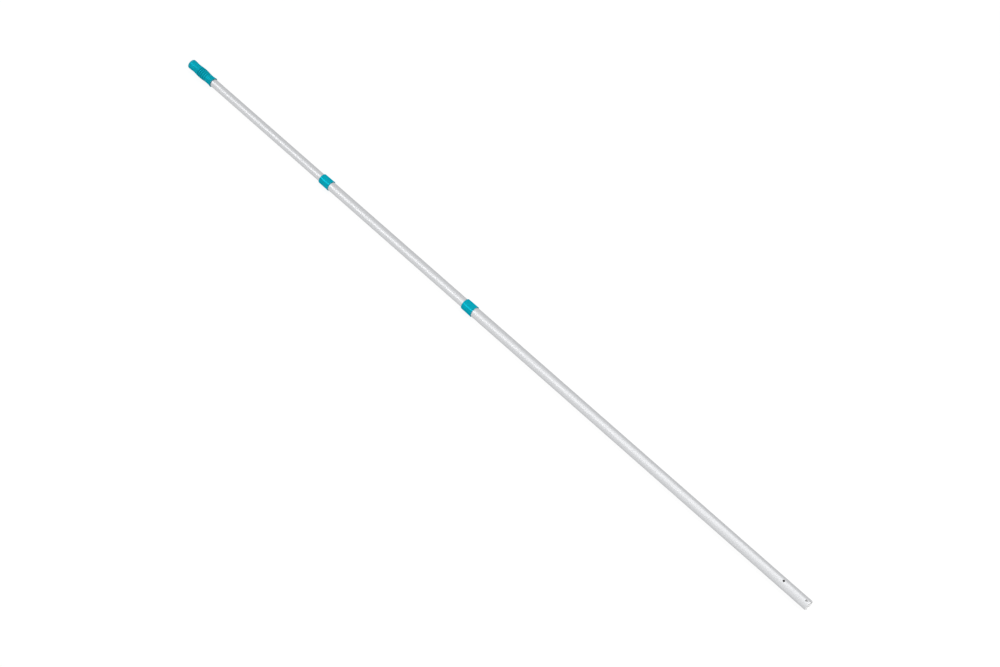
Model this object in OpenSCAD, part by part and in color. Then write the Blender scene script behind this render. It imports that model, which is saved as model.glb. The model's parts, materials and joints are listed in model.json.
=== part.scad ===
// Three section telescopic pool pole with twist locks.
// The pole lies along X. The origin is the centre of the open socket mouth, and the pole
// runs from there towards -X to the butt of the hand grip. +Z is up. It is drawn fully out,
// with both locks free. Every length is in millimetres.

/* [Tubes] */
// Outside diameter of the outer tube
outer_tube_d = 29.8; // [26:0.1:45]
// Wall of each tube
tube_wall = 1.1; // [0.8:0.05:1.8]
// Radial gap between one tube and the next
tube_gap = 0.3; // [0.2:0.05:0.5]
// Length of outer tube that shows, from the socket mouth to the outer collar's rim
outer_show = 1215; // [800:5:2000]
// Length of middle tube that shows when it is fully out
middle_show = 538; // [250:2:1000]
// Length of inner tube that shows when it is fully out
inner_show = 464; // [200:2:1000]

/* [Accessory socket] */
// Radial step by which the open end is reamed wider than the bore
socket_ream = 0.2; // [0.16:0.02:0.4]
// Depth of the reamed socket
socket_depth = 110; // [100:5:200]
// Diameter of the accessory's button holes, which go through both walls
button_hole_d = 6.4; // [4:0.1:8]
// Distance of the first button hole from the mouth
button_hole_near = 10; // [8:0.5:30]
// Distance of the second button hole from the mouth
button_hole_far = 87; // [50:1:94]

/* [Collars] */
// Length of each collar
collar_len = 38; // [30:1:70]
// Wall of a collar round its tube at the shoulder
collar_shoulder_wall = 1.5; // [1:0.1:3]
// Wall of a collar round its tube at the rim
collar_rim_wall = 2.1; // [1:0.1:4]
// Rounding of a collar's shoulder
shoulder_round = 2.6; // [1:0.1:3]
// Thickness of the end wall that guides the next tube
guide_wall = 5; // [3:0.5:12]
// Radial running clearance of the guide hole round the next tube
guide_gap = 0.1; // [0.05:0.01:0.15]
// Radial gap between pressed parts, such as a collar and its tube
seat_gap = 0.05; // [0.01:0.01:0.1]
// Diameter of the two nibs that snap into the tube
nib_d = 5; // [3:0.5:6]
// Distance of the nibs' centre from the collar's rim
nib_inset = 5; // [4:0.5:12]
// Gap between the nibs, which stand proud in the bore, and the tube that slides past them
nib_gap = 0.08; // [0.05:0.01:0.1]

/* [Hand grip] */
// Length of the grip
grip_len = 97; // [90:1:140]
// Thickness of the grip's closed end
grip_end_wall = 5; // [3:0.5:10]
// Thickness of the grip over its tube at the butt
grip_butt_t = 2.3; // [1.5:0.1:5]
// Thickness at the neck between the butt and the swell
grip_neck_t = 1.5; // [1:0.1:4]
// Thickness at the swell in the palm
grip_swell_t = 3.2; // [2.6:0.1:7]
// Thickness at the waist between the swell and the lip
grip_waist_t = 1.3; // [0.8:0.1:4]
// Thickness at the flared lip
grip_lip_t = 2.8; // [1:0.1:5]
// Length of the straight butt
grip_butt_len = 11; // [8:0.5:14]
// Distance of the neck from the butt end
grip_neck_at = 22; // [18:0.5:30]
// Distance of the top of the swell from the butt end
grip_swell_at = 52; // [44:0.5:58]
// Distance of the waist from the rim
grip_waist_at = 15; // [8:0.5:20]
// Rounding of the butt's edge
grip_round = 4; // [1:0.5:6]
// Number of finger grooves round the swell
groove_count = 5; // [3:1:5]
// Pitch of the finger grooves
groove_pitch = 6.75; // [4:0.25:7]
// Width of a finger groove, which is twice its depth
groove_w = 2.4; // [1.4:0.1:2.8]
// Distance of the middle groove from the butt end
groove_at = 54.5; // [50:0.5:58]

/* [Twist locks] */
// How far the plug reaches into its tube
plug_depth = 30; // [20:1:60]
// Wall of the hollow part of the plug
plug_wall = 3; // [2:0.25:5]
// Thickness of the flange that seats on the tube's end
flange_t = 3; // [2:0.5:8]
// Width of the split glide ring
ring_w = 8; // [5:0.5:20]
// Depth of the glide ring's seat below the bore round it
ring_seat = 2.6; // [2:0.1:3.4]
// Width of the slit in the glide ring
ring_slit = 2.5; // [1:0.25:6]
// Thickness of the shoulder that the glide ring snaps behind
keeper_t = 1.6; // [1:0.1:4]
// Distance of the spindle's axis from the pole's axis
spindle_offset = 0.7; // [0.4:0.05:1.6]
// Diameter of the plug's spindle
spindle_d = 11; // [8:0.5:13]
// Length of the cam along the pole
cam_len = 12; // [8:0.5:25]
// Width of the slit that lets the cam spring lightly against the bore
cam_slit = 2; // [1:0.25:4]
// Twist from free to locked, each way, in degrees
lock_twist = 45; // [30:1:60]
// Radial gap that is left between cam and bore when locked
lock_gap = 0.05; // [0.03:0.01:0.1]
// Diameter of the roll pin that holds the plug in its tube
roll_pin_d = 3; // [2:0.25:5]
// Radial running clearance between the moving parts of a lock
run_gap = 0.1; // [0.05:0.01:0.1]
// Thickness of the washer that keeps the cam on its spindle
washer_t = 1.2; // [0.8:0.1:3]
// Diameter of the washer
washer_d = 15; // [13.5:0.5:17]
// Diameter of the screw's thread
screw_d = 3.5; // [2.5:0.1:5]
// Diameter of the screw's head
screw_head_d = 7; // [6:0.5:9]
// Height of the screw's head
screw_head_h = 2.4; // [1.5:0.1:4]

/* [Hidden] */

$fn = 96;
eps = 0.01;
face_gap = 0.2;
stop_gap = 0.3;
// The roll pin's ends stay this far below the tube's surface
pin_inset = 0.3;
// The screw's core and its pilot hole are thinner than its thread by these, the washer's hole
// is wider by the last, and the screw ends this far short of its hole
core_step = 0.5;
pilot_step = 0.4;
washer_play = 0.3;
screw_end_gap = 2;
// Span and width of the screw's cross recess as shares of its head
recess_span = 0.6;
recess_width = 1 / 7;
// Height of the keeper as a share of the glide ring's seat
keeper_share = 1 / 3;
// Bore and slit of the roll pin as shares of its diameter
pin_bore_share = 1 / 2;
pin_slit_share = 1 / 6;
aluminium = [0.83, 0.84, 0.85];
teal = [0.05, 0.63, 0.70];
nylon = [0.90, 0.89, 0.85];
black_nylon = [0.13, 0.13, 0.14];
steel = [0.62, 0.63, 0.65];

// Diameters of the bores and of the tubes that run in them
outer_bore_d = outer_tube_d - 2 * tube_wall;
middle_tube_d = outer_bore_d - 2 * tube_gap;
middle_bore_d = middle_tube_d - 2 * tube_wall;
inner_tube_d = middle_bore_d - 2 * tube_gap;
inner_bore_d = inner_tube_d - 2 * tube_wall;

// Places along the pole, from the mouth towards the grip
outer_rim_x = -outer_show;
outer_shoulder_x = outer_rim_x - collar_len;
middle_rim_x = outer_shoulder_x - middle_show;
middle_shoulder_x = middle_rim_x - collar_len;
grip_rim_x = middle_shoulder_x - inner_show;
butt_x = grip_rim_x - grip_len;

// Ends of the tubes. A tube fills its collar as far as the guide wall, and its lock end
// stands where the glide ring meets the nibs of the collar round it.
outer_end_x = outer_shoulder_x + guide_wall;
middle_end_x = middle_shoulder_x + guide_wall;
ring_back = flange_t + face_gap;
middle_lock_x = outer_rim_x - nib_inset + nib_d / 2 + stop_gap - ring_back;
inner_lock_x = middle_rim_x - nib_inset + nib_d / 2 + stop_gap - ring_back;
inner_end_x = butt_x + grip_end_wall;

// Stations of a lock, counted from the tube's end towards the mouth
ring_front = ring_back + ring_w;
keeper_front = ring_front + face_gap + keeper_t;
cam_back = keeper_front + face_gap;
spindle_end = cam_back + cam_len + face_gap;
washer_front = spindle_end + washer_t;

// Turns a shape drawn along Z so that it runs along +X from x
module along_x(x) {
  translate([x, 0, 0]) rotate([0, 90, 0]) children();
}

// A pipe along +X from x
module pipe(x, length, d_out, d_in) {
  along_x(x) difference() {
    cylinder(h = length, d = d_out);
    translate([0, 0, -eps]) cylinder(h = length + 2 * eps, d = d_in);
  }
}

// A hole through both walls of a tube, along Z or, turned, along Y
module cross_hole(x, d, reach, turn = 0) {
  translate([x, 0, 0]) rotate([turn, 0, 0]) cylinder(h = 2 * reach, d = d, center = true);
}

// The two holes that a collar's nibs snap into
module nib_holes(rim_x, tube_d) {
  cross_hole(rim_x - nib_inset, nib_d + 2 * run_gap, tube_d, 90);
}

// The hole for the roll pin near a tube's lock end
module pin_hole(lock_x, tube_d) {
  cross_hole(lock_x - plug_depth / 2, roll_pin_d + 2 * seat_gap, tube_d);
}

module outer_tube() color(aluminium) difference() {
  pipe(outer_end_x, -outer_end_x, outer_tube_d, outer_bore_d);
  along_x(-socket_depth) cylinder(h = socket_depth + eps, d = outer_bore_d + 2 * socket_ream);
  cross_hole(-button_hole_near, button_hole_d, outer_tube_d);
  cross_hole(-button_hole_far, button_hole_d, outer_tube_d);
  nib_holes(outer_rim_x, outer_tube_d);
}

module middle_tube() color(aluminium) difference() {
  pipe(middle_end_x, middle_lock_x - middle_end_x, middle_tube_d, middle_bore_d);
  nib_holes(middle_rim_x, middle_tube_d);
  pin_hole(middle_lock_x, middle_tube_d);
}

module inner_tube() color(aluminium) difference() {
  pipe(inner_end_x, inner_lock_x - inner_end_x, inner_tube_d, inner_bore_d);
  pin_hole(inner_lock_x, inner_tube_d);
}

// Points of a quarter round, from the axis side to the outside
function quarter_round(r_edge, x, round_r, steps = 8) =
  [for (i = [0:steps]) let (a = 90 * i / steps)
    [r_edge - round_r + round_r * sin(a), x + round_r * (1 - cos(a))]];

// A collar: a sleeve that flares from a rounded shoulder to a plain rim, with a guide hole
// in its end wall and two nibs that snap into the tube and stand proud in its bore
module collar(shoulder_x, tube_d, guided_d) {
  seat_r = tube_d / 2 + seat_gap;
  nib_from = guided_d / 2 + nib_gap;
  nib_to = seat_r + collar_shoulder_wall / 2;
  difference() {
    along_x(shoulder_x) rotate_extrude() polygon(concat(
      [[0, 0]], quarter_round(seat_r + collar_shoulder_wall, 0, shoulder_round),
      [[seat_r + collar_rim_wall, collar_len], [0, collar_len]]));
    along_x(shoulder_x - eps) cylinder(h = collar_len, d = guided_d + 2 * guide_gap);
    along_x(shoulder_x + guide_wall) cylinder(h = collar_len, r = seat_r);
  }
  for (side = [-1, 1])
    translate([shoulder_x + collar_len - nib_inset, side * nib_from, 0])
      rotate([-90 * side, 0, 0]) cylinder(h = nib_to - nib_from, d = nib_d);
}

module outer_collar() color(teal) collar(outer_shoulder_x, outer_tube_d, middle_tube_d);

module middle_collar() color(teal) collar(middle_shoulder_x, middle_tube_d, inner_tube_d);

// The grip's outline: its stations from the butt and its thickness over the tube at each.
// It eases from one to the next in half cosine waves, and flares to the lip as a square.
grip_stations = [grip_butt_len, grip_neck_at, grip_swell_at, grip_len - grip_waist_at, grip_len];
grip_t = [grip_butt_t, grip_neck_t, grip_swell_t, grip_waist_t, grip_lip_t];
grip_steps = 40;

function grip_stretch(x) =
  x < grip_stations[1] ? 0 : x < grip_stations[2] ? 1 : x < grip_stations[3] ? 2 : 3;

function grip_radius(x) = let (
    k = grip_stretch(x),
    u = max(0, (x - grip_stations[k]) / (grip_stations[k + 1] - grip_stations[k])),
    share = k < 3 ? (1 - cos(180 * u)) / 2 : u * u)
  inner_tube_d / 2 + grip_t[k] + (grip_t[k + 1] - grip_t[k]) * share;

module hand_grip() color(teal) difference() {
  along_x(butt_x) rotate_extrude() difference() {
    polygon(concat(
      [[0, 0]], quarter_round(grip_radius(0), 0, grip_round),
      [for (i = [1:grip_steps]) let (x = grip_round + (grip_len - grip_round) * i / grip_steps)
        [grip_radius(x), x]],
      [[0, grip_len]]));
    for (i = [0:groove_count - 1]) {
      x = groove_at + (i - (groove_count - 1) / 2) * groove_pitch;
      translate([grip_radius(x), x]) circle(d = groove_w, $fn = 32);
    }
  }
  along_x(inner_end_x) cylinder(h = grip_len, r = inner_tube_d / 2 + seat_gap);
}

// The plug: hollow in its tube, a flange on the tube's end, the seat and keeper of the glide
// ring, and a spindle that stands off the pole's axis
module lock_plug(lock_x, tube_d, bore_d, seat_r) {
  difference() {
    union() {
      along_x(lock_x - plug_depth) cylinder(h = plug_depth + eps, d = bore_d - 2 * seat_gap);
      along_x(lock_x) cylinder(h = flange_t, d = tube_d);
      along_x(lock_x) cylinder(h = keeper_front, r = seat_r);
      along_x(lock_x + ring_front + face_gap)
        cylinder(h = keeper_t, r = seat_r + ring_seat * keeper_share);
      translate([0, 0, -spindle_offset])
        along_x(lock_x) cylinder(h = spindle_end, d = spindle_d);
    }
    along_x(lock_x - plug_depth - eps)
      cylinder(h = plug_depth - plug_wall, d = bore_d - 2 * plug_wall);
    translate([0, 0, -spindle_offset])
      along_x(lock_x + flange_t) cylinder(h = spindle_end, d = screw_d - pilot_step);
    pin_hole(lock_x, tube_d);
  }
}

// Roll pin: a slit spring tube across the plug and its tube, just below the tube's surface
module roll_pin(lock_x, tube_d) {
  length = tube_d - 2 * pin_inset;
  slit = roll_pin_d * pin_slit_share;
  translate([lock_x - plug_depth / 2, 0, -length / 2]) difference() {
    cylinder(h = length, d = roll_pin_d);
    translate([0, 0, -eps]) cylinder(h = length + 2 * eps, d = roll_pin_d * pin_bore_share);
    translate([0, -slit / 2, -eps]) cube([roll_pin_d, slit, length + 2 * eps]);
  }
}

// Glide ring: a split ring that fills the bore and carries the section in it
module glide_ring(lock_x, seat_r, bore_d) {
  difference() {
    pipe(lock_x + ring_back, ring_w, bore_d - run_gap, 2 * (seat_r + run_gap));
    translate([lock_x + ring_back - eps, -ring_slit / 2, -bore_d])
      cube([ring_w + 2 * eps, ring_slit, bore_d]);
  }
}

// Cam: a slit ring, round about the pole's axis when free, with its spindle hole off that
// axis, so a twist either way swings it out against the bore. The slit is in its thin side.
module cam(lock_x, bore_d) {
  throw = 2 * spindle_offset * sin(lock_twist / 2);
  difference() {
    along_x(lock_x + cam_back) cylinder(h = cam_len, r = bore_d / 2 - throw - lock_gap);
    translate([0, 0, -spindle_offset])
      along_x(lock_x + cam_back - eps) cylinder(h = cam_len + 2 * eps, d = spindle_d + 2 * run_gap);
    translate([lock_x + cam_back - eps, -cam_slit / 2, -bore_d])
      cube([cam_len + 2 * eps, cam_slit, bore_d - spindle_offset]);
  }
}

module cam_washer(lock_x) {
  translate([0, 0, -spindle_offset])
    pipe(lock_x + spindle_end, washer_t, washer_d, screw_d + washer_play);
}

// Pan head screw with a cross recess
module cam_screw(lock_x) {
  shank = spindle_end - flange_t - screw_end_gap;
  translate([0, 0, -spindle_offset]) difference() {
    union() {
      along_x(lock_x + spindle_end - shank) cylinder(h = shank + eps, d = screw_d - core_step);
      along_x(lock_x + spindle_end) cylinder(h = washer_t + eps, d = screw_d);
      along_x(lock_x + washer_front) cylinder(h = screw_head_h, d = screw_head_d);
    }
    for (turn = [0, 90])
      translate([lock_x + washer_front + screw_head_h, 0, 0]) rotate([turn, 0, 0])
        cube([screw_head_h, screw_head_d * recess_span, screw_head_d * recess_width],
          center = true);
  }
}

// Radii of the glide rings' seats
middle_seat_r = outer_bore_d / 2 - ring_seat;
inner_seat_r = middle_bore_d / 2 - ring_seat;

module middle_lock_plug() color(nylon)
  lock_plug(middle_lock_x, middle_tube_d, middle_bore_d, middle_seat_r);
module middle_roll_pin() color(steel) roll_pin(middle_lock_x, middle_tube_d);
module middle_glide_ring() color(black_nylon)
  glide_ring(middle_lock_x, middle_seat_r, outer_bore_d);
module middle_cam() color(black_nylon) cam(middle_lock_x, outer_bore_d);
module middle_cam_washer() color(steel) cam_washer(middle_lock_x);
module middle_cam_screw() color(steel) cam_screw(middle_lock_x);

module inner_lock_plug() color(nylon)
  lock_plug(inner_lock_x, inner_tube_d, inner_bore_d, inner_seat_r);
module inner_roll_pin() color(steel) roll_pin(inner_lock_x, inner_tube_d);
module inner_glide_ring() color(black_nylon)
  glide_ring(inner_lock_x, inner_seat_r, middle_bore_d);
module inner_cam() color(black_nylon) cam(inner_lock_x, middle_bore_d);
module inner_cam_washer() color(steel) cam_washer(inner_lock_x);
module inner_cam_screw() color(steel) cam_screw(inner_lock_x);

outer_tube();
outer_collar();
middle_tube();
middle_collar();
middle_lock_plug();
middle_roll_pin();
middle_glide_ring();
middle_cam();
middle_cam_washer();
middle_cam_screw();
inner_tube();
hand_grip();
inner_lock_plug();
inner_roll_pin();
inner_glide_ring();
inner_cam();
inner_cam_washer();
inner_cam_screw();
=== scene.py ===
import json
import math

import bmesh
import bpy
import numpy as np
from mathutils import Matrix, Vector


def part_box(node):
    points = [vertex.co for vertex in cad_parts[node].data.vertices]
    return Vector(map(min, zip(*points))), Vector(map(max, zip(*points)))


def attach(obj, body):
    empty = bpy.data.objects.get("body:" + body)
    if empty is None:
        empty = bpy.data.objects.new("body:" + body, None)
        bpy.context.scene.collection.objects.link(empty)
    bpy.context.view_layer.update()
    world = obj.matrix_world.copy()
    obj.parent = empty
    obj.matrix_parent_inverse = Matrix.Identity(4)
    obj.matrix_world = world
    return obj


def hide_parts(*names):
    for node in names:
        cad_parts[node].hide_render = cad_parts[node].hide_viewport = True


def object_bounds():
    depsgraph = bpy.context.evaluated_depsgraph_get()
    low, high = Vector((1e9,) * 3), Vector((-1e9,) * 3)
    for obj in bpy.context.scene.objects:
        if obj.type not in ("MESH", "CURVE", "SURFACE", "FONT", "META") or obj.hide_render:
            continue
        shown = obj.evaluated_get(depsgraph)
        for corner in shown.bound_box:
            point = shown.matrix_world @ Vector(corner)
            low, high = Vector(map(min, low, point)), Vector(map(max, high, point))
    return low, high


bl_info = {
    "name": "Telescopic Pool Pole",
    "version": (1, 0, 0),
    "blender": (4, 5, 0),
    "location": "View3D > Sidebar > Pool Pole",
    "description": "Dresses the fixed frame of a three section pole with tubes, collars and grip",
    "category": "Object",
}

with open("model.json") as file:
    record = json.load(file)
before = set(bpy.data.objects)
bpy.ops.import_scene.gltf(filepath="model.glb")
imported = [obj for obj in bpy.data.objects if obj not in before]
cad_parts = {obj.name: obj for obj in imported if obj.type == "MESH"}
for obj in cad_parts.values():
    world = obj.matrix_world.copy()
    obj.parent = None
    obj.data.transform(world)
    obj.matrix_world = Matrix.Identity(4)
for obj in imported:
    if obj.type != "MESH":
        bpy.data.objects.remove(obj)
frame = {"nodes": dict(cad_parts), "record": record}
CAD_BOX = [list(corner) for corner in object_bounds()]
MOUNTS = {mount["name"]: mount for mount in frame["record"]["mounts"]}

MM = 0.001
# Columns round the pole, and the columns and rows of the window round a hole or a nib
COLUMNS = 192
WINDOW_CELLS = 20
WINDOW_HALF = 3.6 * MM
WINDOW_TURN = math.pi * WINDOW_CELLS / COLUMNS
# Rings between a window's edge and the rim of its hole
WINDOW_SHARES = np.linspace(1, 0, 6)
# Steps of a rounded edge, and the row that keeps its shading off the straight run beside it
EDGE_STEPS = 4
SUPPORT = 0.4 * MM
# Rows of a straight run stand at most this far apart
ROW_PITCH = 60 * MM
# Points closer than this are one, and an edge where faces meet more sharply than this is hard
WELD = 2e-6
SHARP = math.radians(35)
# A row belongs to a window when it lies within this of it
ROW_SLACK = 0.01 * MM
# Small edges of the mouldings: a collar's rim, its guide hole and its nibs, and the slanted
# lead-in at the rim, as its width and depth
RIM_EDGE = 0.5 * MM
GUIDE_EDGE = 0.12 * MM
NIB_EDGE = 0.25 * MM
LEAD_IN = (1.0 * MM, 0.9 * MM)
# Rows along a collar's outside, over the grip's butt and down the gap behind its lip
COLLAR_ROWS = 24
BUTT_ROWS = 12
GAP_ROWS = 14
# How full a groove's section is, and how far out its own material, painted darker as shade, goes, as a share
# of its half
GROOVE_POWER = 0.6
GROOVE_SHARE = 0.97
# Numbers of a tube's three finishes among its materials
SKIN, CUT, BORE = 0, 1, 2

# A walk round a window, from its corner at -135 degrees: the place on a square that spans
# -1 to 1 both ways, and the angle of the point on the hole's rim that belongs to it
RIM_ANGLES = np.radians(-135 + 90 / WINDOW_CELLS * np.arange(4 * WINDOW_CELLS))
_SIDE = np.arange(WINDOW_CELLS) / WINDOW_CELLS * 2 - 1
_ONE = np.ones(WINDOW_CELLS)
SQUARE = np.vstack([
    np.column_stack([_SIDE, -_ONE]),
    np.column_stack([_ONE, _SIDE]),
    np.column_stack([-_SIDE, _ONE]),
    np.column_stack([-_ONE, -_SIDE]),
])


# --- Surfaces -------------------------------------------------------------------------------

def arc(centre, radius, start, end, steps=EDGE_STEPS):
    """Arc in the (x, r) half plane: centre + radius (cos a, sin a), a from start to end degrees."""
    a = np.radians(np.linspace(start, end, steps + 1))
    return np.column_stack([centre[0] + radius * np.cos(a), centre[1] + radius * np.sin(a)])


def run_rows(start, end, ports=()):
    """Places along X for a straight run from start to end: both ends, a support row beside each,
    even rows between, and one row per cell across the window of each port."""
    low, high = min(start, end), max(start, end)
    even = np.linspace(low, high, int((high - low) / ROW_PITCH) + 2)
    for port in ports:
        even = even[np.abs(even - port) > WINDOW_HALF + SUPPORT]
    cells = [port + WINDOW_HALF * np.linspace(-1, 1, WINDOW_CELLS + 1) for port in ports]
    rows = np.unique(np.concatenate([even, [low, low + SUPPORT, high - SUPPORT, high], *cells]))
    return rows if start < end else rows[::-1]


def straight(x, radius):
    """Rows (x, r) of a run of one radius."""
    return np.column_stack([x, np.full(len(x), radius)])


def revolve(path):
    """Surface of revolution about X: row i and column j give (x_i, r_i sin t_j, r_i cos t_j),
    with t_j = 2 pi j / COLUMNS."""
    t = 2 * np.pi * np.arange(COLUMNS) / COLUMNS
    x, r = path[:, :1], path[:, 1:]
    return np.stack([x + 0 * t, r * np.sin(t), r * np.cos(t)], -1)


def grid_quads(rows, columns, closed):
    """Quads between neighbours of a grid. Columns close on themselves, and rows where asked."""
    i, j = np.meshgrid(np.arange(rows if closed else rows - 1), np.arange(columns), indexing="ij")
    right = (j + 1) % columns
    above = (i + 1) % rows
    return np.stack([i * columns + j, i * columns + right, above * columns + right, above * columns + j], -1)


def window_cells(path, skin, port, turn):
    """Rows and columns of the grid's quads in the window of a port. skin marks the path's rows
    that lie on the skin that the port goes through, and turn is the port's angle from +Z."""
    rows = np.nonzero(skin & (np.abs(path[:, 0] - port) < WINDOW_HALF + ROW_SLACK))[0]
    middle = round(turn / (2 * np.pi) * COLUMNS)
    columns = (middle + np.arange(-WINDOW_CELLS // 2, WINDOW_CELLS // 2)) % COLUMNS
    return np.ix_(rows[:-1], columns)


def skin_rings(port, turn, rim, radius, shares):
    """Rings on the skin of that radius, from the window's edge (share 1) to the port's round rim
    (share 0). Place along X and angle about X both go straight from one to the other. The rim
    lies rim cos f along X and rim sin f across, so its angle is arcsin(rim sin f / radius)."""
    rim_x = port + rim * np.cos(RIM_ANGLES)
    rim_t = turn + np.arcsin(rim * np.sin(RIM_ANGLES) / radius)
    edge_x = port + WINDOW_HALF * SQUARE[:, 0]
    edge_t = turn + WINDOW_TURN * SQUARE[:, 1]
    share = np.asarray(shares)[:, None]
    x = rim_x + (edge_x - rim_x) * share
    t = rim_t + (edge_t - rim_t) * share
    return np.stack([x, radius * np.sin(t), radius * np.cos(t)], -1)


def port_ring(port, turn, rim, height):
    """One ring about a port's own axis: rim cos f along X, rim sin f across, and height out from
    the pole's axis, turned about X to the port's angle."""
    across = rim * np.sin(RIM_ANGLES)
    x = port + rim * np.cos(RIM_ANGLES)
    y = height * np.sin(turn) + across * np.cos(turn)
    z = height * np.cos(turn) - across * np.sin(turn)
    return np.stack([x, y, z + 0 * x], -1)[None]


def skin_height(rim, radius):
    """How far a skin stands out from the pole's axis on a port's rim: sqrt(radius^2 - across^2)."""
    return np.sqrt(radius ** 2 - (rim * np.sin(RIM_ANGLES)) ** 2)


def drilled_port(port, turn, hole, outer, inner, chamfer):
    """A hole through a wall: rings down the outer skin to the rim, a chamfer, the straight wall
    of the hole, a chamfer, and rings out over the inner skin. Returns the rings and the finish
    of each strip between two of them."""
    rim = hole + chamfer
    rings = np.concatenate([
        skin_rings(port, turn, rim, outer, WINDOW_SHARES),
        port_ring(port, turn, hole, skin_height(hole, outer) - chamfer),
        port_ring(port, turn, hole, skin_height(hole, inner) + chamfer),
        skin_rings(port, turn, rim, inner, WINDOW_SHARES[::-1]),
    ])
    skin = len(WINDOW_SHARES) - 1
    return rings, np.repeat([SKIN, CUT, BORE], [skin, 3, skin])


def nib_port(port, turn, nib, seat, tip):
    """A round nib on the inside of a sleeve: rings in over the seat to a small fillet, down the
    nib's side, over its rounded edge and across its flat tip to the middle."""
    side = port_ring(port, turn, nib, skin_height(nib, seat) - NIB_EDGE)
    a = np.radians(np.linspace(0, 90, EDGE_STEPS + 1))
    rounded = [
        port_ring(port, turn, nib - NIB_EDGE + NIB_EDGE * c, tip + NIB_EDGE - NIB_EDGE * s)
        for c, s in zip(np.cos(a), np.sin(a))
    ]
    middle = [port_ring(port, turn, share * nib, tip) for share in (0.5, 0)]
    rings = np.concatenate([
        skin_rings(port, turn, nib + NIB_EDGE, seat, WINDOW_SHARES), side, *rounded, *middle])
    return rings, np.zeros(len(rings) - 1, int)


def make_piece(name, surfaces, materials, body, node):
    """Joins grids of points into one welded mesh, turns its faces outwards, shades it smooth but
    for its sharp edges, and lets it ride on its body in place of the frame's node. Each surface
    is its points, its quads and a material number for each quad."""
    offsets = np.cumsum([0] + [points.size // 3 for points, _, _ in surfaces])
    points = np.concatenate([points.reshape(-1, 3) for points, _, _ in surfaces])
    quads = np.concatenate([quads + offset for (_, quads, _), offset in zip(surfaces, offsets)])
    mesh = bpy.data.meshes.new(name)
    mesh.from_pydata(points.tolist(), [], quads.tolist())
    mesh.polygons.foreach_set("material_index", np.concatenate([m for _, _, m in surfaces]))
    for material in materials:
        mesh.materials.append(material)
    shell = bmesh.new()
    shell.from_mesh(mesh)
    bmesh.ops.remove_doubles(shell, verts=shell.verts, dist=WELD)
    bmesh.ops.recalc_face_normals(shell, faces=shell.faces)
    open_edges = sum(not edge.is_manifold for edge in shell.edges)
    shell.to_mesh(mesh)
    shell.free()
    if open_edges:
        raise RuntimeError(f"{name} has {open_edges} open or doubled edges")
    mesh.shade_smooth()
    mesh.set_sharp_from_angle(angle=SHARP)
    piece = bpy.data.objects.new(name, mesh)
    bpy.context.scene.collection.objects.link(piece)
    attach(piece, body)
    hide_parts(node)
    return piece


def shell_surfaces(path, finish, ports):
    """The grid of a closed path turned about X, with a window left out for each port, and the
    ports' own rings. finish is the material number of each row's strip to the next row. Each
    port is its skins, its place, its angle, its rings and their strips' material numbers."""
    quads = grid_quads(len(path), COLUMNS, closed=True)
    keep = np.ones(quads.shape[:2], bool)
    surfaces = []
    for skins, place, turn, (rings, strips) in ports:
        for skin in skins:
            keep[window_cells(path, skin, place, turn)] = False
        around = rings.shape[1]
        port_quads = grid_quads(len(rings), around, closed=False).reshape(-1, 4)
        surfaces.append((rings, port_quads, np.repeat(strips, around)))
    finishes = np.repeat(finish[:, None], COLUMNS, axis=1)
    return [(revolve(path), quads[keep], finishes[keep]), *surfaces]


def tube_surfaces(ends, outer, bore, holes, edge, mouth, chamfer, ream=None):
    """A drawn tube. Its closed path runs up the outer skin, round the +X edge, back along the
    bore and round the -X edge. mouth is the rounding inside the +X end, and ream the depth and
    the radius of a socket reamed into that end, which meets the bore in a 45 degree step. Each
    hole is its place, radius and angle."""
    low, high = ends
    places = [place for place, _, _ in holes]
    outside = straight(run_rows(low + edge, high - edge, places), outer)
    if ream:
        depth, ream_radius = ream
        step = high - depth
        inside = np.vstack([
            straight(run_rows(high - mouth, step, [p for p in places if p > step]), ream_radius),
            straight(run_rows(step - (ream_radius - bore), low + edge,
                              [p for p in places if p < step]), bore),
        ])
    else:
        step, ream_radius = high + edge, bore
        inside = straight(run_rows(high - mouth, low + edge, places), bore)
    parts = [
        outside,
        arc((high - edge, outer - edge), edge, 90, 0),
        arc((high - mouth, ream_radius + mouth), mouth, 0, -90),
        inside,
        arc((low + edge, bore + edge), edge, -90, -180),
        arc((low + edge, outer - edge), edge, 180, 90),
    ]
    path = np.vstack(parts)
    part = np.repeat(np.arange(len(parts)), [len(p) for p in parts])
    skins = (part == 0, part == 3)
    ports = []
    for place, radius, turn in holes:
        inner = ream_radius if place > step else bore
        ports.append((skins, place, turn, drilled_port(place, turn, radius, outer, inner, chamfer)))
    return shell_surfaces(path, np.array([SKIN, CUT, CUT, BORE, CUT, CUT])[part], ports)


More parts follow.
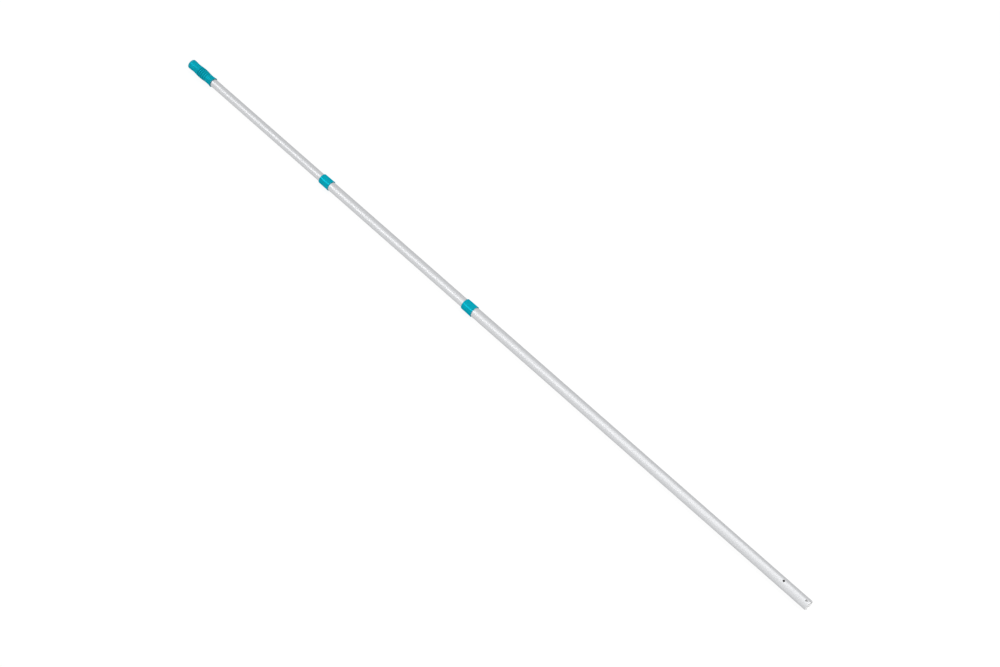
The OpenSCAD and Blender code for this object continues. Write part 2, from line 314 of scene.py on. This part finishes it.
def collar_surfaces(ends, shoulder, rim, seat, guide, wall, rounding, flare, nibs):
    """A moulded sleeve. Its closed path runs over the rounded shoulder, along an outside that
    widens straight and flares by a smooth step u^2 (3 - 2u) over its last stretch, round the
    rim, down the slanted lead-in, back along the seat, down the end wall and out through the
    guide hole. Each nib is its place, radius, angle and the height of its tip."""
    low, high = ends
    lead, lead_depth = LEAD_IN
    flare_length, flare_height = flare
    x = np.linspace(low + rounding, high - RIM_EDGE, COLLAR_ROWS)
    share = (x - low - rounding) / (high - low - rounding)
    u = np.clip((x - high + flare_length) / flare_length, 0, 1)
    widened = shoulder + (rim - flare_height - shoulder) * share
    outside = widened + flare_height * u * u * (3 - 2 * u)
    parts = [
        arc((low + rounding, shoulder - rounding), rounding, 180, 90, 10),
        np.column_stack([x, outside])[1:],
        arc((high - RIM_EDGE, rim - RIM_EDGE), RIM_EDGE, 80, 0),
        np.array([[high, seat + lead]]),
        straight(run_rows(high - lead_depth, low + wall, [nib[0] for nib in nibs]), seat),
        straight(run_rows(low + wall, low + GUIDE_EDGE), guide),
        arc((low + GUIDE_EDGE, guide + GUIDE_EDGE), GUIDE_EDGE, -90, -180),
    ]
    path = np.vstack(parts)
    part = np.repeat(np.arange(len(parts)), [len(p) for p in parts])
    ports = [
        ((part == 4,), place, turn, nib_port(place, turn, radius, seat, tip))
        for place, radius, turn, tip in nibs
    ]
    return shell_surfaces(path, np.zeros(len(path), int), ports)


def grip_radius(x, base, stations, thicknesses):
    """Radius of the grip at x from its butt: base plus a thickness that goes from one station to
    the next in half cosine waves, (1 - cos pi u) / 2, and flares to the lip as u^2."""
    k = np.clip(np.searchsorted(stations, x, side="right") - 1, 0, len(stations) - 2)
    u = np.clip((x - stations[k]) / (stations[k + 1] - stations[k]), 0, 1)
    share = np.where(k < len(stations) - 2, (1 - np.cos(np.pi * u)) / 2, u * u)
    return base + thicknesses[k] + (thicknesses[k + 1] - thicknesses[k]) * share


def grip_surfaces(ends, tube, settings):
    """A dipped grip. Its path starts on the axis and runs over the crowned butt, x = crown
    (r / r_edge)^2, round its edge, along the body, whose thickness is cut in its grooves to
    1 - depth (1 - (d / w)^2)^power of itself at distance d up to w from a groove's middle, round
    the thin lip, down the gap that the lip leaves round the tube, seat + opening u^2, and back
    along the seat to the axis. The grooves have a material number of their own."""
    low, high = ends
    stations = np.array([settings.butt, settings.neck, settings.swell, settings.waist, high - low])
    thicknesses = np.array([
        settings.butt_t, settings.neck_t, settings.swell_t, settings.waist_t, settings.lip_t])
    butt_round, crown, lip_round = settings.butt_round, settings.crown, settings.lip_round
    butt_radius = tube + settings.butt_t
    r = np.linspace(0, butt_radius - butt_round, BUTT_ROWS)
    x = np.linspace(crown + butt_round, high - low - lip_round, settings.rows)
    body = grip_radius(x, tube, stations, thicknesses)
    middle = settings.groove_at + settings.groove_pitch * (
        np.arange(settings.grooves) - (settings.grooves - 1) / 2)
    away = np.abs(x[:, None] - middle).min(1) / settings.groove_half
    cut = settings.groove_depth * np.clip(1 - away ** 2, 0, 1) ** GROOVE_POWER
    body = tube + (body - tube) * (1 - cut)
    lip = tube + settings.lip_t
    seat = tube + settings.seat_gap
    wall = settings.end_wall
    opening = settings.lip_t - settings.seat_gap - settings.lip_wall
    lip_edge = settings.lip_wall / 3
    gap_x = np.linspace(high - low - lip_edge, high - low - settings.lip_gap, GAP_ROWS)
    gap = seat + opening * (1 - (high - low - gap_x) / settings.lip_gap) ** 2
    butt = np.vstack([
        np.column_stack([crown * (r / r[-1]) ** 2, r])[:-1],
        arc((crown + butt_round, butt_radius - butt_round), butt_round, 180, 90, 12)[:-1],
    ])
    path = np.vstack([
        butt,
        np.column_stack([x, body]),
        arc((high - low - lip_round, lip - lip_round), lip_round, 70, 0, 6),
        arc((high - low - lip_edge, seat + opening + lip_edge), lip_edge, 0, -80),
        np.column_stack([gap_x, gap])[1:],
        straight(run_rows(high - low - settings.lip_gap - SUPPORT, wall), seat),
        np.column_stack([[wall, wall], [seat - SUPPORT, 0]]),
    ])
    path[:, 0] += low
    finish = np.zeros(len(path) - 1, int)
    # Quads in the grooves take the second material, painted darker as shade in the grooves
    finish[len(butt):len(butt) + len(x)] = away < GROOVE_SHARE
    quads = grid_quads(len(path), COLUMNS, closed=False).reshape(-1, 4)
    return [(revolve(path), quads, np.repeat(finish, COLUMNS))]


# --- Materials ------------------------------------------------------------------------------

# The stretch of a noise's 0 to 1 that a finish spreads over its two colours or roughnesses
GRAIN = (0.3, 0.7)


def linear(hex_colour):
    """sRGB hex such as "#0AA3B7" to linear red, green and blue: c / 12.92 up to 0.04045, else
    ((c + 0.055) / 1.055)^2.4."""
    c = np.array([int(hex_colour[i:i + 2], 16) for i in (1, 3, 5)]) / 255
    return tuple(float(v) for v in np.where(c <= 0.04045, c / 12.92, ((c + 0.055) / 1.055) ** 2.4))


def add(tree, kind, inputs, **settings):
    """Adds a shader node, sets its properties, and fills each input with a value or a link."""
    node = tree.nodes.new("ShaderNode" + kind)
    for key, value in settings.items():
        setattr(node, key, value)
    for key, value in inputs.items():
        if isinstance(value, bpy.types.NodeSocket):
            tree.links.new(value, node.inputs[key])
        else:
            node.inputs[key].default_value = value
    return node


def pattern(tree, size, detail=2.0):
    """Noise on Object coordinates, 0 to 1, whose grains are about size (x, y, z) metres."""
    place = add(tree, "TexCoord", {})
    mapping = add(tree, "Mapping", {
        "Vector": place.outputs["Object"], "Scale": tuple(1 / s for s in size)})
    noise = add(tree, "TexNoise", {
        "Vector": mapping.outputs["Vector"], "Scale": 1.0, "Detail": detail, "Roughness": 0.55})
    return noise.outputs["Fac"]


def finish_material(name, colours, roughness, broad, fine, relief, constants):
    """A finish of two grains. The broad one moves the colour between two values, the fine one
    the roughness, and the fine one's relief in metres is its bump. broad and fine are grain
    sizes, and constants go straight onto the shader."""
    material = bpy.data.materials.new(name)
    material.use_nodes = True
    tree = material.node_tree
    tree.nodes.clear()
    soft = pattern(tree, broad)
    sharp = pattern(tree, fine, detail=3.0)
    colour = add(tree, "ValToRGB", {"Fac": soft})
    stops = colour.color_ramp.elements
    for stop, place, value in zip(stops, GRAIN, colours):
        stop.position = place
        stop.color = (*value, 1)
    gloss = add(tree, "MapRange", {
        "Value": sharp, "From Min": GRAIN[0], "From Max": GRAIN[1],
        "To Min": roughness[0], "To Max": roughness[1]})
    bump = add(tree, "Bump", {"Height": sharp, "Distance": relief, "Strength": 1.0})
    shader = add(tree, "BsdfPrincipled", {
        "Base Color": colour.outputs["Color"], "Roughness": gloss.outputs["Result"],
        "Normal": bump.outputs["Normal"], **constants})
    add(tree, "OutputMaterial", {"Surface": shader.outputs["BSDF"]})
    material.diffuse_color = (*colours[0], 1)
    return material


def shade(colour, factor):
    """A linear colour, lighter or darker by a factor."""
    return tuple(min(1.0, c * factor) for c in colour)


def aluminium_tube(settings):
    """Satin anodised aluminium: a drawn tube, etched and anodised clear. A soft grey metal whose
    oxide blurs reflections, with faint streaks along the tube from the drawing die. Real streaks
    are about 0.1 mm wide, and the broad ones here are 3 mm wide so that they can show."""
    return finish_material(
        "satin_anodised_aluminium",
        (shade(settings.colour, 0.99), shade(settings.colour, 1.01)),
        (settings.roughness - 0.02, settings.roughness + 0.02),
        broad=(900 * MM, 3 * MM, 3 * MM), fine=(150 * MM, 0.35 * MM, 0.35 * MM),
        relief=0.0008 * MM,
        constants={"Metallic": 1.0, "Specular Tint": (0.6, 0.6, 0.6, 1)})


def bore_aluminium():
    """The inside of a drawn tube: the bare bright alloy, which the anodising has hardly reached,
    scoured dull by the mandrel, so it scatters light down the bore."""
    bright = linear("#F8F8F8")
    return finish_material(
        "bare_aluminium_bore", (shade(bright, 0.97), bright), (0.75, 0.9),
        broad=(60 * MM, 3 * MM, 3 * MM), fine=(2 * MM, 0.6 * MM, 0.6 * MM),
        relief=0.01 * MM, constants={"Metallic": 1.0})


def cut_aluminium():
    """Bare aluminium where the tube was sawn, drilled and reamed after drawing: brighter and
    shinier than the anodised skin, with fine tool marks across the cut."""
    bright = linear("#E4E4E5")
    return finish_material(
        "cut_aluminium", (shade(bright, 0.94), bright), (0.2, 0.32),
        broad=(0.5 * MM, 0.5 * MM, 0.5 * MM), fine=(0.08 * MM, 0.8 * MM, 0.8 * MM),
        relief=0.003 * MM, constants={"Metallic": 1.0})


# The tint of the gloss on both teal plastics
GLOSS = (0.03, 0.8, 1.0, 1.0)


def teal_polypropylene(settings):
    """Moulded polypropylene, coloured through: an even strong teal, soft gloss from a fine spark
    eroded mould, clouded a little by the flow of the melt. A little pearl in the pigment tints
    its gloss teal, which the small metallic share stands for."""
    return finish_material(
        "moulded_polypropylene_teal",
        (shade(settings.colour, 0.96), shade(settings.colour, 1.04)),
        (settings.roughness - 0.04, settings.roughness + 0.04),
        broad=(18 * MM, 9 * MM, 9 * MM), fine=(0.25 * MM, 0.25 * MM, 0.25 * MM),
        relief=0.012 * MM,
        constants={"Metallic": 0.4, "IOR": 1.49, "Specular IOR Level": 0.0, "Specular Tint": GLOSS})


def teal_vinyl(settings):
    """Dipped soft vinyl (PVC): the same teal, a little softer in gloss, with the faint orange
    peel of a dipped coat, about 1.5 mm from crest to crest."""
    return finish_material(
        "dipped_vinyl_teal",
        (shade(settings.colour, 0.95), shade(settings.colour, 1.05)),
        (settings.roughness - 0.04, settings.roughness + 0.05),
        broad=(12 * MM, 8 * MM, 8 * MM), fine=(1.5 * MM, 1.5 * MM, 1.5 * MM),
        relief=0.02 * MM,
        constants={"Metallic": 0.28, "IOR": 1.53, "Specular IOR Level": 0.0, "Specular Tint": GLOSS})


def groove_vinyl_painted_shade(settings):
    """The same dipped vinyl down in the finger grooves, where no hand polishes it: dull, and with
    none of the pearl that shows in the rubbed skin. Its colour is painted darker than the skin's,
    as painted shade in the grooves."""
    return finish_material(
        "dipped_vinyl_teal_painted_groove_shade",
        # 0.8 and 0.86 of the skin's colour: painted shade in the grooves
        (shade(settings.colour, 0.8), shade(settings.colour, 0.86)), (0.55, 0.65),
        broad=(12 * MM, 8 * MM, 8 * MM), fine=(1.5 * MM, 1.5 * MM, 1.5 * MM),
        relief=0.02 * MM,
        constants={"Metallic": 0.1, "IOR": 1.53, "Specular IOR Level": 0.0, "Specular Tint": GLOSS})


def natural_polyamide():
    """Moulded natural polyamide 66: milky ivory, slightly see-through at its edges, with the
    satin of a plain steel mould."""
    ivory = linear("#E4E0D4")
    return finish_material(
        "natural_polyamide", (shade(ivory, 0.94), ivory), (0.38, 0.5),
        broad=(8 * MM, 5 * MM, 5 * MM), fine=(0.3 * MM, 0.3 * MM, 0.3 * MM),
        relief=0.01 * MM,
        constants={"IOR": 1.53, "Subsurface Weight": 0.15, "Subsurface Scale": 0.5 * MM})


def black_acetal():
    """Moulded black acetal (POM): near black and waxy, rubbed a little shinier where it runs in
    the bore."""
    black = linear("#232425")
    return finish_material(
        "black_acetal", (shade(black, 0.85), shade(black, 1.2)), (0.3, 0.44),
        broad=(6 * MM, 4 * MM, 4 * MM), fine=(0.3 * MM, 0.6 * MM, 0.6 * MM),
        relief=0.01 * MM, constants={"IOR": 1.48})


def stainless_steel():
    """Cold formed stainless steel of the screws, washers and roll pins: grey bright metal with
    fine rolling marks."""
    grey = linear("#B9B8B5")
    return finish_material(
        "stainless_steel", (shade(grey, 0.92), shade(grey, 1.06)), (0.2, 0.34),
        broad=(2 * MM, 2 * MM, 2 * MM), fine=(0.1 * MM, 0.5 * MM, 0.5 * MM),
        relief=0.004 * MM, constants={"Metallic": 1.0})


# --- Settings -------------------------------------------------------------------------------

def length(name, description, millimetres, **limits):
    """A length property with its default in millimetres."""
    return bpy.props.FloatProperty(
        name=name, description=description, default=millimetres * MM, precision=5,
        subtype="DISTANCE", unit="LENGTH", min=0.0, **limits)


def angle(name, description, degrees):
    """An angle property with its default in degrees."""
    return bpy.props.FloatProperty(
        name=name, description=description, default=math.radians(degrees),
        subtype="ANGLE", unit="ROTATION")


def colour(name, description, hex_colour):
    """A colour property with its default as sRGB hex."""
    return bpy.props.FloatVectorProperty(
        name=name, description=description, default=linear(hex_colour), subtype="COLOR",
        min=0.0, max=1.0)


def share(name, description, value):
    """A factor property."""
    return bpy.props.FloatProperty(
        name=name, description=description, default=value, subtype="FACTOR", min=0.0, max=1.0)


def number(name, description, value):
    """A plain number property."""
    return bpy.props.FloatProperty(name=name, description=description, default=value)


class PoleTubeSettings(bpy.types.PropertyGroup):
    """Sizes and finish of the three drawn tubes"""
    wall: length("Wall", "Wall of each tube", 1.1)
    ream: length("Ream", "Radial step of the reamed socket over the bore", 0.2)
    edge: length("Edge", "Rounding of the tubes' sawn and deburred ends", 0.2)
    mouth: length("Mouth rounding", "Rounding inside the open mouth, which leads tools in", 0.6)
    chamfer: length("Hole chamfer", "Deburring chamfer of the drilled holes", 0.15)
    nib_gap: length("Nib play", "Radial play of a collar's nib in its hole", 0.1)
    pin_gap: length("Pin play", "Radial play of a roll pin in its hole", 0.05)
    colour: colour("Aluminium", "Colour of the anodised tubes", "#CFD0D2")
    roughness: share("Roughness", "Blur of the satin anodised skin", 0.46)


class PoleCollarSettings(bpy.types.PropertyGroup):
    """Sizes and finish of the two collars"""
    shoulder_wall: length("Shoulder wall", "Wall of a collar at its shoulder", 1.5)
    shoulder_round: length("Shoulder rounding", "Rounding of a collar's shoulder", 2.6)
    rim_wall: length("Rim wall", "Wall of a collar at its rim", 2.1)
    end_wall: length("End wall", "Thickness of the wall that guides the next tube", 5)
    guide_gap: length("Guide gap", "Radial gap of the guide hole round the next tube", 0.1)
    flare_length: length("Flare length", "Length of the small flare at the rim", 5)
    flare: length("Flare", "How far the rim flares", 0.2)
    nib: length("Nib radius", "Radius of the nibs that snap into the tube", 2.5)
    nib_inset: length("Nib inset", "Distance of the nibs from the rim", 5)
    nib_gap: length("Nib gap", "Gap between a nib's tip and the tube that slides past", 0.08)
    colour: colour("Polypropylene", "Colour of the collars", "#0EAABF")
    roughness: share("Roughness", "Blur of the collars' soft gloss", 0.19)


class PoleGripSettings(bpy.types.PropertyGroup):
    """Sizes and finish of the hand grip, its stations measured from the butt end"""
    butt: length("Butt", "Length of the straight butt", 11)
    neck: length("Neck", "Distance of the neck from the butt end", 22)
    swell: length("Swell", "Distance of the swell from the butt end", 52)
    waist: length("Waist", "Distance of the waist from the butt end", 82)
    butt_t: length("Butt thickness", "Thickness over the tube at the butt", 2.3)
    neck_t: length("Neck thickness", "Thickness over the tube at the neck", 1.5)
    swell_t: length("Swell thickness", "Thickness over the tube at the swell", 3.2)
    waist_t: length("Waist thickness", "Thickness over the tube at the waist", 1.3)
    lip_t: length("Lip thickness", "Thickness over the tube at the lip", 2.8)
    butt_round: length("Butt rounding", "Rounding of the butt's edge", 4)
    crown: length("Crown", "Height of the butt's crown", 0.5)
    lip_round: length("Lip rounding", "Rounding of the lip", 0.6)
    lip_wall: length("Lip wall", "Wall of the thin lip at its rim", 1.2)
    lip_gap: length("Lip gap", "Depth of the gap between the lip and the tube", 6)
    end_wall: length("End wall", "Thickness of the closed butt", 5)
    seat_gap: length("Seat gap", "Radial gap between the grip and its tube", 0.05)
    grooves: bpy.props.IntProperty(
        name="Grooves", description="Number of finger grooves", default=5, min=1)
    groove_at: length("Groove place", "Distance of the middle groove from the butt end", 57.8)
    groove_pitch: length("Groove pitch", "Pitch of the finger grooves", 6.75)
    groove_half: length("Groove half width", "Half the width of a groove", 1.7)
    groove_depth: share("Groove depth", "Depth of a groove as a share of the thickness", 0.64)
    rows: bpy.props.IntProperty(
        name="Rows", description="Rows of the mesh along the body", default=260, min=40)
    colour: colour("Vinyl", "Colour of the grip", "#0EA7BB")
    roughness: share("Roughness", "Blur of the grip's soft gloss", 0.32)


class PoleStageSettings(bpy.types.PropertyGroup):
    """Floor, light and camera"""
    lens: bpy.props.FloatProperty(
        name="Lens", description="Focal length on a 36 mm sensor", default=86.4,
        unit="CAMERA")
    distance: length("Distance", "Distance of the camera from its aim", 6483.7)
    azimuth: angle("Azimuth", "Turn of the camera about Z from the -Y side", 45.493)
    elevation: angle("Elevation", "Height of the camera over the floor, as an angle", 59.668)
    aim: bpy.props.FloatVectorProperty(
        name="Aim", description="Point that the camera looks at", subtype="TRANSLATION",
        unit="LENGTH", precision=5, default=(-1.1180, 0.00175, 0.00072))
    floor_colour: colour("Floor", "Colour of the plain floor", "#BCBCBC")
    floor_glow: share("Floor glow", "Share of the floor that shows as plain white", 0.7)
    floor_white: number("Floor white", "Level of that white, so that the whole shows as 1", 1.27)
    sky: number("Sky light", "Level of the light from all round", 0.58)
    near_side: number("Near side", "How much brighter reflections are on the near side", 1.0)
    softbox_level: number("Softbox level", "Brightness of the softboxes' faces", 1.0)
    softbox_width: length("Softbox width", "Width of the softboxes", 1150)
    softbox_height: length("Softbox height", "Height of the softboxes over the floor", 3000)


# How far the floor reaches each way and the camera sees, in metres, and the sensor's width in mm
FLOOR_REACH = 40
VIEW_REACH = 100
SENSOR_WIDTH = 36

# The sky in reflections, by the direction (x, y, z) that a reflection looks in: its level and its
# tilt towards the near side, each as the value at one x and at another, and the y of no tilt
SKY_LEVEL = ((-0.52, 0.79), (-0.36, 1.03))
SKY_TILT = ((-0.52, -0.16), (-0.2, 0.3))
SKY_MIDDLE = 0.15

# The softboxes, end to end over the pole: where the middle is, the turn about Z in degrees, the
# length in metres and the share of the softbox level
SOFTBOXES = {
    "grip_softbox": ((-3.83, -1.5), -46.9, 3.15, 2.15),
    "socket_softbox": ((-1.16, 0.28), 66.5, 5.2, 1.0),
    "mouth_softbox": ((2.9, 1.0), 0.0, 3.5, 7.0),
}


# --- Operators ------------------------------------------------------------------------------

def node_span(node):
    """Lowest and highest x of a node of the frame, and its largest radius over Z."""
    low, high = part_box(node)
    return (low.x, high.x), high.z


class PoleBuildTubes(bpy.types.Operator):
    """Builds the three drawn tubes with their socket, button holes, nib holes and pin holes"""
    bl_idname = "pole.build_tubes"
    bl_label = "Tubes"

    def execute(self, context):
        settings = context.scene.pole_tubes
        nibs = context.scene.pole_collars
        materials = [aluminium_tube(settings), cut_aluminium(), bore_aluminium()]
        up, side = (0.0, math.pi), (math.pi / 2, 3 * math.pi / 2)

        def through(place, radius, turns):
            return [(place, radius, turn) for turn in turns]

        def nib_holes(collar):
            return through(node_span(collar)[0][1] - nibs.nib_inset, nibs.nib + settings.nib_gap, side)

        def pin_holes(pin):
            (low, high), _ = node_span(pin)
            return through((low + high) / 2, (high - low) / 2 + settings.pin_gap, up)

        buttons = [
            hole for name in ("button_hole_near", "button_hole_far")
            for hole in through(MOUNTS[name]["pos_m"][0], MOUNTS[name]["dims"]["r_mm"] * MM, up)
        ]
        socket = MOUNTS["accessory_socket"]["dims"]
        tubes = {
            "outer": ("outer_section", buttons + nib_holes("outer_collar"),
                      (socket["length_mm"] * MM, socket["r_mm"] * MM)),
            "middle": ("middle_section", nib_holes("middle_collar") + pin_holes("middle_roll_pin"), None),
            "inner": ("inner_section", pin_holes("inner_roll_pin"), None),
        }
        for name, (body, holes, ream) in tubes.items():
            node = name + "_tube"
            ends, radius = node_span(node)
            surfaces = tube_surfaces(
                ends, radius, radius - settings.wall, holes, settings.edge,
                settings.mouth if ream else settings.edge, settings.chamfer, ream)
            make_piece(name + "_pole_tube", surfaces, materials, body, node)
        return {"FINISHED"}


class PoleBuildCollars(bpy.types.Operator):
    """Builds the two moulded collars with their guide holes and snap nibs"""
    bl_idname = "pole.build_collars"
    bl_label = "Collars"

    def execute(self, context):
        settings = context.scene.pole_collars
        material = teal_polypropylene(settings)
        for name, guided in (("outer", "middle_tube"), ("middle", "inner_tube")):
            node = name + "_collar"
            ends, rim = node_span(node)
            guided_radius = node_span(guided)[1]
            seat = rim - settings.rim_wall
            nibs = [
                (ends[1] - settings.nib_inset, settings.nib, turn, guided_radius + settings.nib_gap)
                for turn in (math.pi / 2, 3 * math.pi / 2)
            ]
            surfaces = collar_surfaces(
                ends, seat + settings.shoulder_wall, rim, seat, guided_radius + settings.guide_gap,
                settings.end_wall, settings.shoulder_round, (settings.flare_length, settings.flare),
                nibs)
            make_piece(name + "_locking_collar", surfaces, [material], name + "_section",
                       node)
        return {"FINISHED"}


class PoleBuildGrip(bpy.types.Operator):
    """Builds the dipped hand grip with its swell, finger grooves, lip and closed butt"""
    bl_idname = "pole.build_grip"
    bl_label = "Hand grip"

    def execute(self, context):
        settings = context.scene.pole_grip
        ends, _ = node_span("hand_grip")
        surfaces = grip_surfaces(ends, node_span("inner_tube")[1], settings)
        make_piece("vinyl_hand_grip", surfaces, [teal_vinyl(settings), groove_vinyl_painted_shade(settings)],
                   "inner_section", "hand_grip")
        return {"FINISHED"}


class PoleDressLocks(bpy.types.Operator):
    """Gives the pieces of both twist locks, inside the tubes, their materials"""
    bl_idname = "pole.dress_locks"
    bl_label = "Twist locks"

    def execute(self, context):
        polyamide, acetal, steel = natural_polyamide(), black_acetal(), stainless_steel()
        finishes = {
            "lock_plug": polyamide, "glide_ring": acetal, "cam": acetal,
            "roll_pin": steel, "cam_washer": steel, "cam_screw": steel,
        }
        for section in ("middle", "inner"):
            for ending, material in finishes.items():
                node = frame["nodes"][f"{section}_{ending}"]
                node.data.materials.clear()
                node.data.materials.append(material)
        return {"FINISHED"}


class PoleBuildStage(bpy.types.Operator):
    """Sets the plain floor, the soft light and the camera"""
    bl_idname = "pole.build_stage"
    bl_label = "Stage"

    def execute(self, context):
        settings = context.scene.pole_stage
        self.floor(context, settings)
        self.world(context, settings)
        self.softboxes(context, settings)
        self.camera(context, settings)
        context.scene.view_settings.view_transform = "Standard"
        return {"FINISHED"}

    def seen(self, tree):
        """1 for rays that look straight, by reflection or through glass, and 0 for light's own."""
        rays = add(tree, "LightPath", {})
        both = add(tree, "Math", {
            0: rays.outputs["Is Camera Ray"], 1: rays.outputs["Is Glossy Ray"]}, operation="ADD")
        every = add(tree, "Math", {
            0: both.outputs[0], 1: rays.outputs["Is Transmission Ray"]},
            operation="ADD", use_clamp=True)
        return every.outputs[0]

    def floor(self, context, settings):
        """A plain floor under the pole: matt in the lamps' light, so that it keeps the pole's
        shadow, and mixed with white where it is seen."""
        corners = np.array([[-1, -1], [1, -1], [1, 1], [-1, 1]]) * FLOOR_REACH
        level = CAD_BOX[0][2]
        points = np.column_stack([corners, np.full(4, level)])
        mesh = bpy.data.meshes.new("plain_floor")
        mesh.from_pydata(points.tolist(), [], [(0, 1, 2, 3)])
        material = bpy.data.materials.new("plain_white_floor")
        material.use_nodes = True
        tree = material.node_tree
        tree.nodes.clear()
        matt = add(tree, "BsdfDiffuse", {"Color": (*settings.floor_colour, 1)})
        white = add(tree, "Emission", {"Color": (1, 1, 1, 1), "Strength": settings.floor_white})
        seen = add(tree, "Math", {0: self.seen(tree), 1: settings.floor_glow}, operation="MULTIPLY")
        mixed = add(tree, "MixShader", {
            "Fac": seen.outputs[0], 1: matt.outputs[0], 2: white.outputs[0]})
        add(tree, "OutputMaterial", {"Surface": mixed.outputs[0]})
        mesh.materials.append(material)
        floor = bpy.data.objects.new("plain_floor", mesh)
        context.scene.collection.objects.link(floor)

    def world(self, context, settings):
        """Even light from all round, seen as plain white. In reflections the near side (-Y) grows
        brighter and the far side darker towards the socket, as beside a window: the level at x
        less near_side times the tilt at x times (y - SKY_MIDDLE)."""
        world = bpy.data.worlds.new("soft_studio")
        world.use_nodes = True
        context.scene.world = world
        tree = world.node_tree
        tree.nodes.clear()
        place = add(tree, "TexCoord", {})
        parts = add(tree, "SeparateXYZ", {"Vector": place.outputs["Generated"]})

        def along(points, factor):
            (low, low_value), (high, high_value) = points
            return add(tree, "MapRange", {
                "Value": parts.outputs["X"], "From Min": low, "From Max": high,
                "To Min": low_value * factor, "To Max": high_value * factor}).outputs["Result"]

        side = add(tree, "Math", {0: parts.outputs["Y"], 1: SKY_MIDDLE}, operation="SUBTRACT")
        tilt = add(tree, "Math", {
            0: along(SKY_TILT, settings.near_side), 1: side.outputs[0]}, operation="MULTIPLY")
        level = add(tree, "Math", {
            0: along(SKY_LEVEL, 1.0), 1: tilt.outputs[0]}, operation="SUBTRACT")
        rays = add(tree, "LightPath", {})
        light = add(tree, "Background", {"Color": (1, 1, 1, 1), "Strength": settings.sky})
        white = add(tree, "Background", {"Color": (1, 1, 1, 1), "Strength": 1.0})
        gloss = add(tree, "Background", {"Color": (1, 1, 1, 1), "Strength": level.outputs[0]})
        plain = add(tree, "MixShader", {
            "Fac": self.seen(tree), 1: light.outputs[0], 2: white.outputs[0]})
        mixed = add(tree, "MixShader", {
            "Fac": rays.outputs["Is Glossy Ray"], 1: plain.outputs[0], 2: gloss.outputs[0]})
        add(tree, "OutputWorld", {"Surface": mixed.outputs[0]})

    def softboxes(self, context, settings):
        """Area lights that face down. An area light's face has a radiance of power / (pi area)."""
        for name, (middle, turn, reach, part) in SOFTBOXES.items():
            light = bpy.data.lights.new(name, "AREA")
            light.shape = "RECTANGLE"
            light.size = reach
            light.size_y = settings.softbox_width
            light.energy = settings.softbox_level * part * math.pi * light.size * light.size_y
            softbox = bpy.data.objects.new(name, light)
            softbox.location = (*middle, settings.softbox_height)
            softbox.rotation_euler = (0, 0, math.radians(turn))
            context.scene.collection.objects.link(softbox)

    def camera(self, context, settings):
        """The camera stands off from its aim by the azimuth, elevation and distance."""
        data = bpy.data.cameras.new("camera")
        data.lens = settings.lens
        data.sensor_width = SENSOR_WIDTH
        data.clip_end = VIEW_REACH
        azimuth, elevation = settings.azimuth, settings.elevation
        towards = Vector((
            math.sin(azimuth) * math.cos(elevation),
            -math.cos(azimuth) * math.cos(elevation),
            math.sin(elevation),
        ))
        camera = bpy.data.objects.new("camera", data)
        camera.location = Vector(settings.aim) + settings.distance * towards
        camera.rotation_euler = towards.to_track_quat("Z", "Y").to_euler()
        context.scene.collection.objects.link(camera)
        context.scene.camera = camera


class PolePanel(bpy.types.Panel):
    """Lists the pole's pieces and their settings"""
    bl_idname = "VIEW3D_PT_pool_pole"
    bl_label = "Pool Pole"
    bl_space_type = "VIEW_3D"
    bl_region_type = "UI"
    bl_category = "Pool Pole"

    def draw(self, context):
        for operator, group in PARTS:
            box = self.layout.box()
            box.operator(operator.bl_idname)
            settings = getattr(context.scene, group) if group else None
            for key in (settings.__annotations__ if settings else ()):
                box.prop(settings, key)


PARTS = (
    (PoleBuildTubes, "pole_tubes"),
    (PoleBuildCollars, "pole_collars"),
    (PoleBuildGrip, "pole_grip"),
    (PoleDressLocks, None),
    (PoleBuildStage, "pole_stage"),
)
GROUPS = {
    "pole_tubes": PoleTubeSettings,
    "pole_collars": PoleCollarSettings,
    "pole_grip": PoleGripSettings,
    "pole_stage": PoleStageSettings,
}
CLASSES = (*GROUPS.values(), *(operator for operator, _ in PARTS), PolePanel)


def register():
    for cls in CLASSES:
        bpy.utils.register_class(cls)
    for name, group in GROUPS.items():
        setattr(bpy.types.Scene, name, bpy.props.PointerProperty(type=group))


def unregister():
    for name in GROUPS:
        delattr(bpy.types.Scene, name)
    for cls in reversed(CLASSES):
        bpy.utils.unregister_class(cls)


def main():
    register()
    bpy.ops.pole.build_tubes()
    bpy.ops.pole.build_collars()
    bpy.ops.pole.build_grip()
    bpy.ops.pole.dress_locks()
    bpy.ops.pole.build_stage()


if __name__ == "__main__":
    main()
